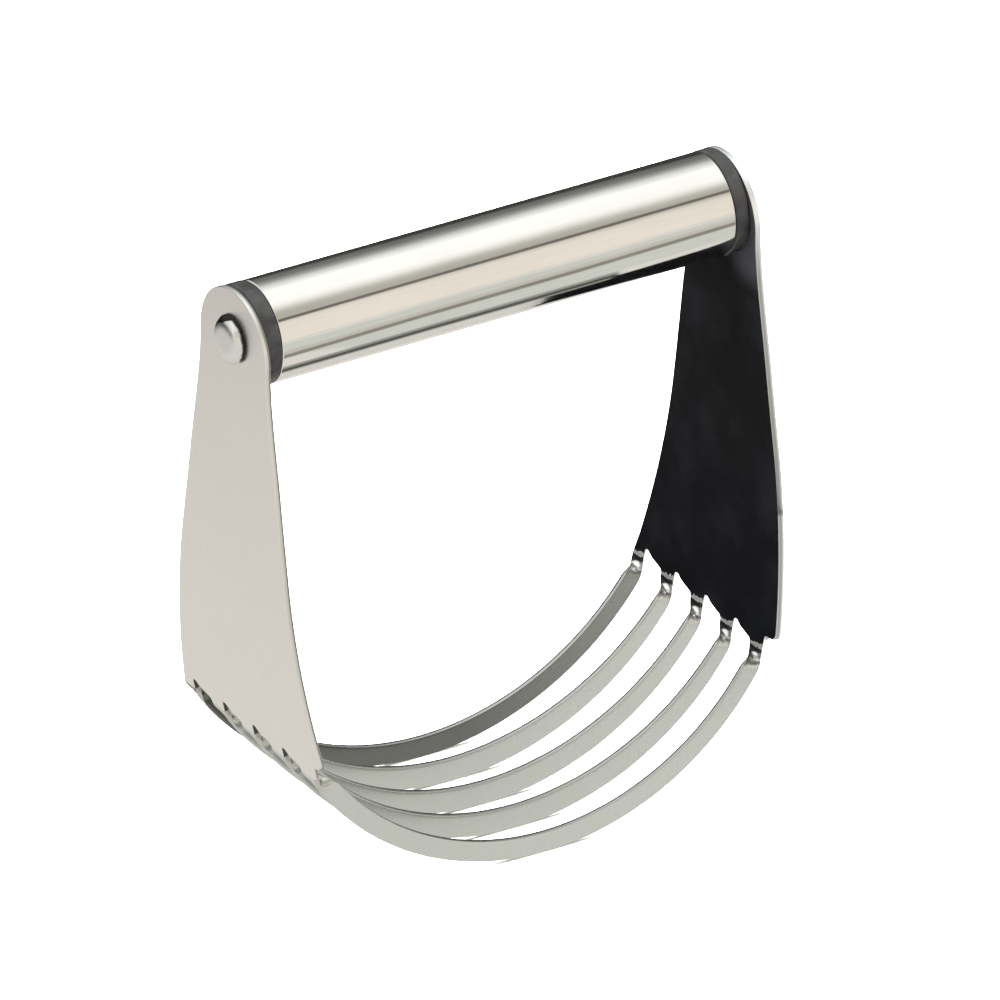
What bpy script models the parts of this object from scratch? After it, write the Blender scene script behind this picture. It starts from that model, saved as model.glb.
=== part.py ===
"""Pastry blender: a stamped stainless frame of two side plates and five twisted blades, under a tube handle.

X runs along the handle, -Y is the front, +Z is up. The origin is on the surface the tool stands on,
under the middle of the blades, which touch it at their lowest points. Everything is in metres.
"""

from math import cos, pi, radians, sin, sqrt

import bmesh
import bpy
from mathutils import Vector

MM = 0.001

# Handle
HANDLE_Z = 111.8 * MM  # height of the handle's axis
TUBE_R = 10.0 * MM
TUBE_WALL = 0.8 * MM
COLLAR_R = 10.1 * MM  # the black collar stands a hair proud of the tube
COLLAR_WIDTH = 3.0 * MM
SPIGOT_LENGTH = 14.0 * MM
SPIGOT_CHAMFER = 1.0 * MM
EDGE_CHAMFER = 0.4 * MM
RIVET_HEAD_R = 4.8 * MM
RIVET_HEAD_RISE = 1.8 * MM
RIVET_HEAD_RIM = 0.35 * MM  # straight rim under the dome
RIVET_SHANK_R = 2.0 * MM
RIVET_SHANK_LENGTH = 14.0 * MM

# Side plates, drawn flat with z measured from the handle's axis and then bent
SHEET = 1.2 * MM
INNER_X = 52.2 * MM  # inner face of the straight upper part
PLATE_TOP_R = 11.8 * MM
PLATE_TOP_DROP = 1.9 * MM  # centre of the round top, below the handle's axis
PLATE_FLARE = ((15.4, -28.0), (20.6, -58.0), (25.3, -84.0))  # half width at each depth, in mm
BEND_START = -44.0 * MM  # below this depth the plate curves inward
BEND_R = 178.0 * MM
FRONT_CORNER_R = 1.5 * MM
FRONT_CORNER_BOTTOM = -80.6 * MM
SIDE_STEPS = 12
BEND_LINES = 10  # the curved part is cut into this many flat facets
HOLE_STEPS = 24
SLOT_R = 0.55 * MM
SLOT_TIP = -82.9 * MM  # centre of a slot's round end
FRONT_SLOT_TIP = -81.8 * MM  # the same, for the half slot before the front root
TOOTH_END = -83.6 * MM  # where a tooth's slope meets the next blade's root
ROOT_CUT = -83.9 * MM  # where the plate ends and the blade's strip begins

# Blades
BLADES = 5
ROOT_WIDTH = 4.1 * MM
ROOT_PITCH = 10.6 * MM
ROOT_SHIFT = 0.2 * MM  # the middle root's front edge is this far behind the handle's axis
END_HEIGHT = 3.9 * MM  # a strip's height at the ends of its arc
MIDDLE_HEIGHT = 4.8 * MM
OUTER_MIDDLE_HEIGHT = 4.1 * MM
MIDDLE_PITCH = 11.0 * MM  # between the plates the blades bow apart a little
MIDDLE_SHIFT = 0.2 * MM
ARC_STAND = 0.6 * MM  # a turned strip stands this far behind its root's front edge
ARC_R = 57.6 * MM  # radius of the lower edges
ARC_HALF_TURN = radians(53.5)  # from the middle to the end of the twist
TWIST_STEPS = 6
ARC_STEPS = 27  # an odd number, so that the middle facet lies flat on the ground

GAP = 0.3 * MM  # clearance between neighbouring pieces
TURN_STEPS = 40


def clear_scene():
    for obj in list(bpy.data.objects):
        bpy.data.objects.remove(obj, do_unlink=True)


def make_collection(name):
    collection = bpy.data.collections.new(name)
    bpy.context.scene.collection.children.link(collection)
    return collection


def make_material(name, colour, metallic, roughness):
    material = bpy.data.materials.new(name)
    material.use_nodes = True
    shader = material.node_tree.nodes["Principled BSDF"]
    shader.inputs["Base Color"].default_value = (*colour, 1.0)
    shader.inputs["Metallic"].default_value = metallic
    shader.inputs["Roughness"].default_value = roughness
    return material


def add_object(name, data, collection, material):
    obj = bpy.data.objects.new(name, data)
    data.materials.clear()
    data.materials.append(material)
    collection.objects.link(obj)
    return obj


def root_front(index):
    """Y of the front edge of strip number index, counted from the front, where it leaves the plates."""
    return (index - BLADES // 2) * ROOT_PITCH + ROOT_SHIFT


# ---------------------------------------------------------------- side plates


def arc_points(centre, radius, start, end, steps):
    """Points on a circle from one angle to another, in degrees."""
    turn = [radians(start + (end - start) * i / steps) for i in range(steps + 1)]
    return [(centre[0] + radius * cos(a), centre[1] + radius * sin(a)) for a in turn]


def half_width(depth):
    """The plate's half width at a depth below the round top: a smooth curve through PLATE_FLARE."""
    points = [(PLATE_TOP_R, -PLATE_TOP_DROP), *((w * MM, z * MM) for w, z in PLATE_FLARE)]
    slopes = [0.0]
    for before, after in zip(points, points[2:]):
        slopes.append((after[0] - before[0]) / (after[1] - before[1]))
    slopes.append((points[-1][0] - points[-2][0]) / (points[-1][1] - points[-2][1]))
    i = 0
    while i < len(points) - 2 and depth < points[i + 1][1]:
        i += 1
    (w0, z0), (w1, z1) = points[i], points[i + 1]
    span = z1 - z0
    t = (depth - z0) / span
    blend = 3 * t**2 - 2 * t**3
    tangents = (t**3 - 2 * t**2 + t) * slopes[i] + (t**3 - t**2) * slopes[i + 1]
    return w0 + (w1 - w0) * blend + tangents * span


def side_edge(bottom):
    """(half width, z) down one long edge, from the end of the round top to the given depth."""
    depths = [-PLATE_TOP_DROP + (bottom + PLATE_TOP_DROP) * i / SIDE_STEPS for i in range(SIDE_STEPS + 1)]
    return [(half_width(z), z) for z in depths]


def toothed_edge():
    """(y, z) along the lower edge from the rear root to the front one, with a slot before each root."""
    points = []
    for index in reversed(range(BLADES)):
        front = root_front(index)
        rear = front + ROOT_WIDTH
        if index < BLADES - 1:
            points.append((rear, TOOTH_END))
        points += [(rear, ROOT_CUT), (front, ROOT_CUT)]
        tip, turn = (SLOT_TIP, 150) if index > 0 else (FRONT_SLOT_TIP, 90)
        points += arc_points((front - SLOT_R, tip), SLOT_R, 0, turn, 4)
    return points


def plate_outline():
    """The flat plate's outline as (y, z), anticlockwise from the rear end of the round top."""
    top = arc_points((0, -PLATE_TOP_DROP), PLATE_TOP_R, 180, 0, 24)
    corner_z = FRONT_CORNER_BOTTOM + FRONT_CORNER_R
    corner_y = FRONT_CORNER_R - half_width(corner_z)
    corner = arc_points((corner_y, corner_z), FRONT_CORNER_R, 270, 180, 5)
    rear = side_edge(TOOTH_END)[1:]
    front = [(-y, z) for y, z in reversed(side_edge(corner_z)[1:-1])]
    return [*top, *rear, *toothed_edge(), *corner, *front]


def curve_from(name, loops, half_thickness):
    """A filled flat curve whose closed loops are the outline and the holes."""
    curve = bpy.data.curves.new(name, "CURVE")
    curve.dimensions = "2D"
    curve.fill_mode = "BOTH"
    curve.extrude = half_thickness
    for loop in loops:
        spline = curve.splines.new("POLY")
        spline.points.add(len(loop) - 1)
        for point, (x, y) in zip(spline.points, loop):
            point.co = (x, y, 0, 1)
        spline.use_cyclic_u = True
    return curve


def mesh_of_curve(curve, name):
    """The curve's own surface as a mesh, with its caps welded on."""
    guide = bpy.data.objects.new(name + "_guide", curve)
    bpy.context.scene.collection.objects.link(guide)
    graph = bpy.context.evaluated_depsgraph_get()
    mesh = bpy.data.meshes.new_from_object(guide.evaluated_get(graph))
    bpy.data.objects.remove(guide, do_unlink=True)
    bpy.data.curves.remove(curve)
    mesh.name = name
    return mesh


def bent(across, through, depth):
    """Where a point of the flat plate goes: the sheet curves inward below BEND_START."""
    x = INNER_X + SHEET / 2
    if depth >= BEND_START:
        return Vector((x + through, across, HANDLE_Z + depth))
    turn = (BEND_START - depth) / BEND_R
    x += (BEND_R + through) * cos(turn) - BEND_R
    z = BEND_START - (BEND_R + through) * sin(turn)
    return Vector((x, across, HANDLE_Z + z))


def make_plate(name, side, collection, material):
    """side is -1 for the left plate and 1 for the right."""
    hole = arc_points((0, 0), RIVET_SHANK_R + GAP, 0, 360, HOLE_STEPS)[:-1]
    mesh = mesh_of_curve(curve_from(name, [plate_outline(), hole], SHEET / 2), name)
    bm = bmesh.new()
    bm.from_mesh(mesh)
    bmesh.ops.remove_doubles(bm, verts=bm.verts, dist=1e-6)
    for i in range(BEND_LINES):
        depth = BEND_START + (FRONT_CORNER_BOTTOM - BEND_START) * i / BEND_LINES
        every = [*bm.verts, *bm.edges, *bm.faces]
        bmesh.ops.bisect_plane(bm, geom=every, plane_co=(0, depth, 0), plane_no=(0, 1, 0), dist=1e-7)
    bmesh.ops.triangulate(bm, faces=bm.faces)
    for vert in bm.verts:
        across, depth, through = vert.co
        vert.co = bent(across, through, depth)
        vert.co.x *= side
    if side < 0:
        bmesh.ops.reverse_faces(bm, faces=bm.faces)
    bm.to_mesh(mesh)
    bm.free()
    return add_object(name, mesh, collection, material)


# --------------------------------------------------------------------- blades


def arc_point(angle, height, y):
    """A point of the turned strip at an angle from the middle, that high above its lower edge."""
    radius = ARC_R - height
    centre_z = ARC_R * cos(ARC_HALF_TURN / ARC_STEPS)
    return Vector((radius * sin(angle), y, centre_z - radius * cos(angle)))


def twisted_edge(start_y, end):
    """One long edge of a right root, as a cubic from the plate's line to the arc's, without its last point."""
    start = bent(start_y, 0, ROOT_CUT - GAP)
    line = (BEND_START - ROOT_CUT) / BEND_R
    start_run = Vector((-sin(line), 0, -cos(line)))
    end_run = Vector((-cos(ARC_HALF_TURN), 0, -sin(ARC_HALF_TURN)))
    reach = (end - start).length
    points = []
    for i in range(TWIST_STEPS):
        t = i / TWIST_STEPS
        blend = 3 * t**2 - 2 * t**3
        tangents = (t**3 - 2 * t**2 + t) * start_run + (t**3 - t**2) * end_run
        points.append(start + (end - start) * blend + tangents * reach)
    return points


def strip_edges(index):
    """The front-and-lower edge and the rear-and-upper edge of a strip, from its right root to its left one."""
    front = root_front(index)
    outer = index in (0, BLADES - 1)
    middle_height = OUTER_MIDDLE_HEIGHT if outer else MIDDLE_HEIGHT
    middle_y = (index - BLADES // 2) * MIDDLE_PITCH + MIDDLE_SHIFT
    lower, upper = [], []
    for i in range(ARC_STEPS + 1):
        angle = ARC_HALF_TURN * (1 - 2 * i / ARC_STEPS)
        along = angle / ARC_HALF_TURN
        height = middle_height + (END_HEIGHT - middle_height) * along**2
        y = front + ARC_STAND + (middle_y - front - ARC_STAND) * (1 - along**2)
        lower.append(arc_point(angle, 0, y))
        upper.append(arc_point(angle, height, y))
    edges = []
    for arc, start_y in ((lower, front), (upper, front + ROOT_WIDTH)):
        root = twisted_edge(start_y, arc[0])
        mirrored = [Vector((-point.x, point.y, point.z)) for point in reversed(root)]
        edges.append([*root, *arc, *mirrored])
    return edges


def make_blade(name, index, collection, material):
    """A ribbon between the strip's two edges, thickened to the sheet."""
    lower, upper = strip_edges(index)
    steps = len(lower) - 1
    bm = bmesh.new()
    bmesh.ops.create_grid(bm, x_segments=steps, y_segments=1, size=0.5)
    for vert in bm.verts:
        station = round((vert.co.x + 0.5) * steps)
        vert.co = lower[station] if vert.co.y < 0 else upper[station]
    mesh = bpy.data.meshes.new(name)
    bm.to_mesh(mesh)
    bm.free()
    obj = add_object(name, mesh, collection, material)
    sheet = obj.modifiers.new("sheet", "SOLIDIFY")
    sheet.thickness = SHEET
    sheet.offset = 0
    return obj


# --------------------------------------------------------------------- handle


def make_turned(name, profile, closed, side, place_x, collection, material):
    """A solid turned about the handle's axis. profile is (radius, distance outward from place_x)."""
    mesh = bpy.data.meshes.new(name)
    bm = bmesh.new()
    verts = [bm.verts.new((radius, 0, along)) for radius, along in profile]
    for first, second in zip(verts, verts[1:]):
        bm.edges.new((first, second))
    if closed:
        bm.edges.new((verts[-1], verts[0]))
    bm.to_mesh(mesh)
    bm.free()
    obj = add_object(name, mesh, collection, material)
    turn = obj.modifiers.new("turn", "SCREW")
    turn.axis = "Z"
    turn.steps = TURN_STEPS
    turn.render_steps = TURN_STEPS
    turn.use_merge_vertices = True
    turn.merge_threshold = 1e-6
    obj.rotation_euler = (0, side * pi / 2, 0)
    obj.location = (side * place_x, 0, HANDLE_Z)
    return obj


def make_tube(collection, material):
    half = INNER_X - GAP - COLLAR_WIDTH - GAP
    inner = TUBE_R - TUBE_WALL
    profile = [
        (inner, half),
        (TUBE_R - EDGE_CHAMFER / 2, half),
        (TUBE_R, half - EDGE_CHAMFER / 2),
        (TUBE_R, -half + EDGE_CHAMFER / 2),
        (TUBE_R - EDGE_CHAMFER / 2, -half),
        (inner, -half),
    ]
    return make_turned("handle_tube", profile, True, 1, 0, collection, material)


def make_plug(name, side, collection, material):
    """A collar against the plate, and a spigot that goes into the tube, with a bore for the rivet."""
    spigot = TUBE_R - TUBE_WALL - GAP
    bore = RIVET_SHANK_R + GAP
    tip = -COLLAR_WIDTH - SPIGOT_LENGTH
    profile = [
        (bore, 0),
        (COLLAR_R - EDGE_CHAMFER, 0),
        (COLLAR_R, -EDGE_CHAMFER),
        (COLLAR_R, -COLLAR_WIDTH + EDGE_CHAMFER),
        (COLLAR_R - EDGE_CHAMFER, -COLLAR_WIDTH),
        (spigot, -COLLAR_WIDTH),
        (spigot, tip + SPIGOT_CHAMFER),
        (spigot - SPIGOT_CHAMFER, tip),
        (bore, tip),
    ]
    return make_turned(name, profile, True, side, INNER_X - GAP, collection, material)


def make_rivet(name, side, collection, material):
    """A low dome on a short rim, and a shank with a pointed end."""
    rise = RIVET_HEAD_RISE - RIVET_HEAD_RIM
    sphere = (RIVET_HEAD_R**2 + rise**2) / (2 * rise)
    steps = 8
    dome = []
    for i in range(steps):
        radius = RIVET_HEAD_R * i / steps
        dome.append((radius, RIVET_HEAD_RISE - sphere + sqrt(sphere**2 - radius**2)))
    shank_end = -RIVET_SHANK_LENGTH
    profile = [
        *dome,
        (RIVET_HEAD_R, RIVET_HEAD_RIM),
        (RIVET_HEAD_R, 0),
        (RIVET_SHANK_R, 0),
        (RIVET_SHANK_R, shank_end + SPIGOT_CHAMFER),
        (RIVET_SHANK_R / 2, shank_end),
        (0, shank_end),
    ]
    return make_turned(name, profile, False, side, INNER_X + SHEET + GAP, collection, material)


def smooth(obj):
    obj.data.shade_smooth()
    obj.data.set_sharp_from_angle(angle=radians(35))


def main():
    clear_scene()
    parts = make_collection("pastry_blender")
    plate_steel = make_material("satin_steel", (0.68, 0.67, 0.65), 1.0, 0.35)
    blade_steel = make_material("blade_steel", (0.60, 0.60, 0.58), 1.0, 0.30)
    tube_steel = make_material("polished_steel", (0.75, 0.74, 0.72), 1.0, 0.15)
    rivet_steel = make_material("rivet_steel", (0.70, 0.70, 0.69), 1.0, 0.20)
    plastic = make_material("black_plastic", (0.03, 0.03, 0.03), 0.0, 0.40)
    for side, word in ((-1, "left"), (1, "right")):
        make_plate(f"{word}_side_plate", side, parts, plate_steel)
        make_plug(f"{word}_end_plug", side, parts, plastic)
        make_rivet(f"{word}_handle_rivet", side, parts, rivet_steel)
    make_tube(parts, tube_steel)
    for index in range(BLADES):
        make_blade(f"blade_{index + 1}", index, parts, blade_steel)
    for obj in parts.objects:
        smooth(obj)


main()
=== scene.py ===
"""Looks of the pastry blender: a stamped stainless frame of two side plates and five twisted strips.

The frame carries a polished tube handle between black end plugs, with a domed rivet through each plate.
X runs along the handle, -Y is the front, +Z is up. Lengths are in metres unless a name or comment says mm.
"""

from math import ceil, cos, pi, radians, sin, tan

import bmesh
import bpy
import numpy as np
from mathutils import Matrix, Vector
from mathutils.geometry import delaunay_2d_cdt


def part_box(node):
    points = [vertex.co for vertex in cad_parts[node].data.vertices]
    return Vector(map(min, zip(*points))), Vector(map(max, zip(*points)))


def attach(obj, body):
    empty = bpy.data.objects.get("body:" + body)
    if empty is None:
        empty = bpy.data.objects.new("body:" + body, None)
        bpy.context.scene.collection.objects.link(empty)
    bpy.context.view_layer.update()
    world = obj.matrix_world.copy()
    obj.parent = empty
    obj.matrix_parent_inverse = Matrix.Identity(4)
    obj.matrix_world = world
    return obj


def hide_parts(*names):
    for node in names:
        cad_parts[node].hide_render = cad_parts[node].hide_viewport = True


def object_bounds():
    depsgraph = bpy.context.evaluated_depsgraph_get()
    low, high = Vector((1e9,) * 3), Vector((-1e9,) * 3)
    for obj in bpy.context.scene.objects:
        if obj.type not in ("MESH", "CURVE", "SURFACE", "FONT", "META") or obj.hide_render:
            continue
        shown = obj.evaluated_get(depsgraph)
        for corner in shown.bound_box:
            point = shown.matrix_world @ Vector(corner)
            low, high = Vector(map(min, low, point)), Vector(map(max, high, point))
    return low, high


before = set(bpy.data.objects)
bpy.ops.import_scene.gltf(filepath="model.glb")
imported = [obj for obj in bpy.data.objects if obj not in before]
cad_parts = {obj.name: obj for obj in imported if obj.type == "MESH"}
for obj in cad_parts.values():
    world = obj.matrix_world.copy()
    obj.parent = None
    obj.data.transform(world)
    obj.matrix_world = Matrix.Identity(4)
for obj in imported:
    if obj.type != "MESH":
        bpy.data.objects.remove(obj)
cad_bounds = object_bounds()

MM = 0.001

# ------------------------------------------------------------------ sizes

TUBE_LOW, TUBE_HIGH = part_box("handle_tube")
HANDLE_Z = (TUBE_LOW.z + TUBE_HIGH.z) / 2
TUBE_R = (TUBE_HIGH.z - TUBE_LOW.z) / 2
TUBE_WALL = 0.8 * MM
SHEET = 1.2 * MM
OUTER_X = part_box("right_side_plate")[1].x  # outer face of the plate's straight upper part
INNER_X = OUTER_X - SHEET
SEAM = 0.05 * MM  # what shows between pieces that touch
EDGE_R = 0.2 * MM  # rounding of every stamped edge
ROUND_STEPS = 3

COLLAR_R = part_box("right_end_plug")[1].z - HANDLE_Z
COLLAR_INNER_X = TUBE_HIGH.x + 0.35 * MM
TUBE_SHIFT = 0.3 * MM  # the tube sits this far to the right of the middle
SPIGOT_END_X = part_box("right_end_plug")[0].x
RIVET_HIGH_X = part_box("right_handle_rivet")[1].x
RIVET_LOW_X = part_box("right_handle_rivet")[0].x
RIVET_HEAD_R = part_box("right_handle_rivet")[1].z - HANDLE_Z
RIVET_SHANK_R = 2.0 * MM
RIVET_LIFT = 0.02 * MM  # what shows under the rivet's head
RIVET_RIM_R = 0.25 * MM
RIVET_RIM_TOP = 0.6 * MM  # height of the rim, where the low dome begins
RIVET_DOME_POWER = 6  # flat in the middle and steep at the rim
RIVET_POINT = 1.0 * MM  # the shank tapers over this length
PLUG_EDGE_R = 0.45 * MM
PLUG_CHAMFER = 1.0 * MM
TUBE_EDGE_R = 0.3 * MM
PLUG_FIT = 0.1 * MM  # clearance inside the tube and round the rivet's shank
HOLE_FIT = 0.3 * MM  # clearance of the plate's hole round the shank

# The flat plate, with depth measured from the handle's axis
TOP_R = 11.8 * MM
TOP_DROP = 1.9 * MM  # the round top's centre lies this far below the axis
FLARE = ((15.4, -28.0), (20.6, -58.0), (25.3, -84.0))  # half width at each depth, in mm
SIDE_TRIM = 0.03 * MM  # keeps the sides inside the CAD solid's box
SIDE_END = -80.0 * MM  # the rear side's curve ends here
FRONT_SIDE_END = -78.0 * MM  # and the front side's, above its round corner
BEND_START = -44.0 * MM  # the plate curves inward below this depth
BEND_R = 178.0 * MM
FRONT_CORNER_R = 1.5 * MM
FRONT_CORNER_BOTTOM = -80.6 * MM
FRONT_SLOT_TOP = -81.2 * MM
SLOT_TOP = -82.0 * MM
SLOT_WIDTH = 0.9 * MM
SLOT_R = 0.4 * MM
SLOT_SHOULDER = (2.0 * MM, 0.7 * MM)  # where the steep side of a slot turns into the tooth's slope
SLOPE_R = 3.0 * MM
TOOTH_END = -83.6 * MM
TOOTH_R = 0.9 * MM
ROOT_FLARE = 0.55 * MM  # a root is this much wider than its strip, on its rear side
CUT = -84.2 * MM  # the plate's piece ends here and the strip's begins

BLADES = 5
ROOT_WIDTH = 4.1 * MM
ROOT_PITCH = 10.6 * MM
ROOT_SHIFT = 0.2 * MM  # the row of roots sits this far to the rear
END_HEIGHT = 3.7 * MM  # height of a strip on edge, at its roots
MIDDLE_HEIGHT = 4.65 * MM  # and at the middle of an inner strip
OUTER_MIDDLE_HEIGHT = 4.1 * MM  # and at the middle of the front and rear strips
MIDDLE_PITCH = 11.0 * MM
MIDDLE_SHIFT = 0.2 * MM  # the strips' middles sit this far to the rear
ARC_STAND = 0.6 * MM  # a strip on edge stands this far behind its root's front
RIGHT_TRIM = 0.45 * MM  # the three inner strips are this much lower at their right ends, and lean forward
RIGHT_LEAN = 0.3 * MM
ARC_R = 57.6 * MM
ARC_HALF_TURN = radians(53.5)

# How finely the plates are divided
TOP_STEPS = 48
SIDE_STEPS = 80
HOLE_STEPS = 48
EDGE_PIECE = 0.8 * MM
FACE_GRID = 1.25 * MM


# ----------------------------------------------------------------- meshes


def mesh_piece(name, verts, faces, node, materials):
    """A mesh in the frame's coordinates that stands for one CAD node."""
    mesh = bpy.data.meshes.new(name)
    mesh.from_pydata([tuple(v) for v in verts], [], [tuple(f) for f in faces])
    bm = bmesh.new()
    bm.from_mesh(mesh)
    bmesh.ops.recalc_face_normals(bm, faces=bm.faces)
    if bm.calc_volume(signed=True) < 0:
        bmesh.ops.reverse_faces(bm, faces=bm.faces)
    bm.to_mesh(mesh)
    bm.free()
    for material in materials:
        mesh.materials.append(material)
    mesh.shade_smooth()
    obj = bpy.data.objects.new(name, mesh)
    bpy.context.scene.collection.objects.link(obj)
    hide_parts(node)
    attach(obj, "root")
    return obj


def point_values(mesh, name, kind, values):
    attribute = mesh.attributes.new(name, kind, "POINT")
    field = "vector" if kind == "FLOAT_VECTOR" else "value"
    attribute.data.foreach_set(field, np.asarray(values, np.float32).ravel())


# ------------------------------------------------------------ side plates


def root_front(index):
    """Y of the front edge of strip number index, counted from the front, where it leaves the plates."""
    return (index - BLADES // 2) * ROOT_PITCH + ROOT_SHIFT


def half_width(depth):
    """The plate's half width at a depth below the round top: a smooth curve through FLARE."""
    points = [(TOP_R, -TOP_DROP), *((w * MM, z * MM) for w, z in FLARE)]
    slopes = [0.0]
    for before, after in zip(points, points[2:]):
        slopes.append((after[0] - before[0]) / (after[1] - before[1]))
    slopes.append((points[-1][0] - points[-2][0]) / (points[-1][1] - points[-2][1]))
    i = 0
    while i < len(points) - 2 and depth < points[i + 1][1]:
        i += 1
    (w0, z0), (w1, z1) = points[i], points[i + 1]
    span = z1 - z0
    t = (depth - z0) / span
    blend = 3 * t**2 - 2 * t**3
    tangents = (t**3 - 2 * t**2 + t) * slopes[i] + (t**3 - t**2) * slopes[i + 1]
    return w0 + (w1 - w0) * blend + tangents * span - SIDE_TRIM


def rounded_path(corners, turn_step=radians(12)):
    """A path through (y, depth, radius) corners, each turned on its radius. The ends stay as they are."""
    points = [Vector(corners[0][:2])]
    for before, corner, after in zip(corners, corners[1:], corners[2:]):
        here = Vector(corner[:2])
        if corner[2] == 0:
            points.append(here)
            continue
        arrive = (here - Vector(before[:2])).normalized()
        leave = (Vector(after[:2]) - here).normalized()
        turn = arrive.angle_signed(leave)
        reach = corner[2] * tan(abs(turn) / 2)
        side = -1 if turn > 0 else 1
        normal = Vector((-arrive.y, arrive.x)) * side
        centre = here - arrive * reach + normal * corner[2]
        steps = max(1, ceil(abs(turn) / turn_step))
        for i in range(steps + 1):
            c, s = cos(turn * i / steps), sin(turn * i / steps)
            spoke = Vector((-normal.x * c - normal.y * s, normal.x * s - normal.y * c))
            points.append(centre + spoke * corner[2])
    points.append(Vector(corners[-1][:2]))
    return points


def plate_outline():
    """The flat plate's closed outline as (y, depth)."""
    top = []
    for i in range(TOP_STEPS + 1):
        angle = pi - pi * i / TOP_STEPS
        top.append(Vector((TOP_R * cos(angle), -TOP_DROP + TOP_R * sin(angle))))
    depths = [-TOP_DROP + (SIDE_END + TOP_DROP) * i / SIDE_STEPS for i in range(1, SIDE_STEPS + 1)]
    rear = [Vector((half_width(z), z)) for z in depths]
    corners = []
    for index in reversed(range(BLADES)):
        front = root_front(index)
        rear_y = front + ROOT_WIDTH + (ROOT_FLARE if index < BLADES - 1 else 0)
        slot_top = SLOT_TOP if index else FRONT_SLOT_TOP
        corners += [(rear_y, CUT, 0), (front, CUT, 0), (front, slot_top, SLOT_R)]
        if index:
            away, down = SLOT_SHOULDER
            corners += [
                (front - SLOT_WIDTH, SLOT_TOP, SLOT_R),
                (front - away, SLOT_TOP - down, SLOPE_R),
                (root_front(index - 1) + ROOT_WIDTH + ROOT_FLARE, TOOTH_END, TOOTH_R),
            ]
    low = FRONT_CORNER_BOTTOM
    corners.append((-half_width(low), low, FRONT_CORNER_R))
    corners.append((-half_width(FRONT_SIDE_END), FRONT_SIDE_END, 0))
    bottom = rounded_path(corners)
    front_side = [Vector((-half_width(z), z)) for z in reversed(depths) if z > FRONT_SIDE_END + 0.5 * MM]
    outline = [*top, *rear, *bottom, *front_side]
    points = []
    for here, after in zip(outline, outline[1:] + outline[:1]):
        points.append(here)
        flat_end = abs(here.y - CUT) < 1e-7 and abs(after.y - CUT) < 1e-7
        pieces = 1 if flat_end else max(1, ceil((after - here).length / EDGE_PIECE))
        points += [here.lerp(after, k / pieces) for k in range(1, pieces)]
    return points


def inset_of(loop, amount, material_inside):
    """How far each point moves when the loop shrinks into the material. Cut corners move only sideways."""
    area = sum(a.x * b.y - b.x * a.y for a, b in zip(loop, loop[1:] + loop[:1]))
    turn = 1 if (area > 0) == material_inside else -1
    moves = []
    for before, here, after in zip(loop[-1:] + loop[:-1], loop, loop[1:] + loop[:1]):
        if abs(here.y - CUT) < 1e-7:
            other = before if abs(before.y - CUT) < 1e-7 else after
            moves.append(Vector((1.0 if other.x > here.x else -1.0, 0)) * amount)
            continue
        along = (after - before).normalized()
        moves.append(Vector((-along.y, along.x)) * turn * amount)
    return moves


def inside(loop, y, z):
    """For arrays of points, which are inside the loop."""
    found = np.zeros(y.shape, bool)
    for a, b in zip(loop, loop[1:] + loop[:1]):
        crosses = (a.y > z) != (b.y > z)
        if a.y != b.y:
            found ^= crosses & (y < (b.x - a.x) * (z - a.y) / (b.y - a.y) + a.x)
    return found


def fill_points(loop, hole_r, spacing):
    """Points on a grid inside the loop, clear of it and of the hole."""
    ys = np.arange(-30 * MM, 30 * MM, spacing)
    zs = np.arange(-90 * MM, 15 * MM, spacing)
    y, z = (a.ravel() for a in np.meshgrid(ys, zs))
    keep = inside(loop, y, z) & (y**2 + z**2 > (hole_r + spacing / 2) ** 2)
    border = np.array([tuple(p) for p in loop])
    y, z = y[keep], z[keep]
    gap = np.min((y[:, None] - border[:, 0]) ** 2 + (z[:, None] - border[:, 1]) ** 2, axis=1)
    clear = gap > (0.6 * spacing) ** 2
    return [Vector(p) for p in zip(y[clear], z[clear])]


def bend(across, depth, through):
    """A point of the flat right plate, where the sheet curves inward below BEND_START."""
    x = INNER_X + SHEET / 2
    turn = max(0.0, (BEND_START - depth) / BEND_R)
    z = depth if turn == 0 else BEND_START - (BEND_R + through) * sin(turn)
    x += through if turn == 0 else (BEND_R + through) * cos(turn) - BEND_R
    return Vector((x, across, HANDLE_Z + z))


def bend_normal(depth, normal):
    """A direction (across, up, through) of the flat sheet, turned with it."""
    turn = max(0.0, (BEND_START - depth) / BEND_R)
    across, up, through = normal
    return Vector((up * sin(turn) + through * cos(turn), across, up * cos(turn) - through * sin(turn)))


def plate_face(outline, hole, hole_r):
    """One flat face, split finely so that the bend is smooth.

    Returns its points, its triangles round the hole, and the place of each outline and hole point among them.
    """
    edges = []
    for start, loop in ((0, outline), (len(outline), hole)):
        edges += [(start + i, start + (i + 1) % len(loop)) for i in range(len(loop))]
    scattered = fill_points(outline, hole_r, FACE_GRID)
    points, _, triangles, origins, *_ = delaunay_2d_cdt([*outline, *hole, *scattered], edges, [], 1, 1e-8)
    where = {old: new for new, olds in enumerate(origins) for old in olds}
    hole_edge = (hole_r + EDGE_R) ** 2
    kept = []
    for tri in triangles:
        middle = (points[tri[0]] + points[tri[1]] + points[tri[2]]) / 3
        if middle.length_squared > hole_edge:
            kept.append(tri)
    return points, kept, where


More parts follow.
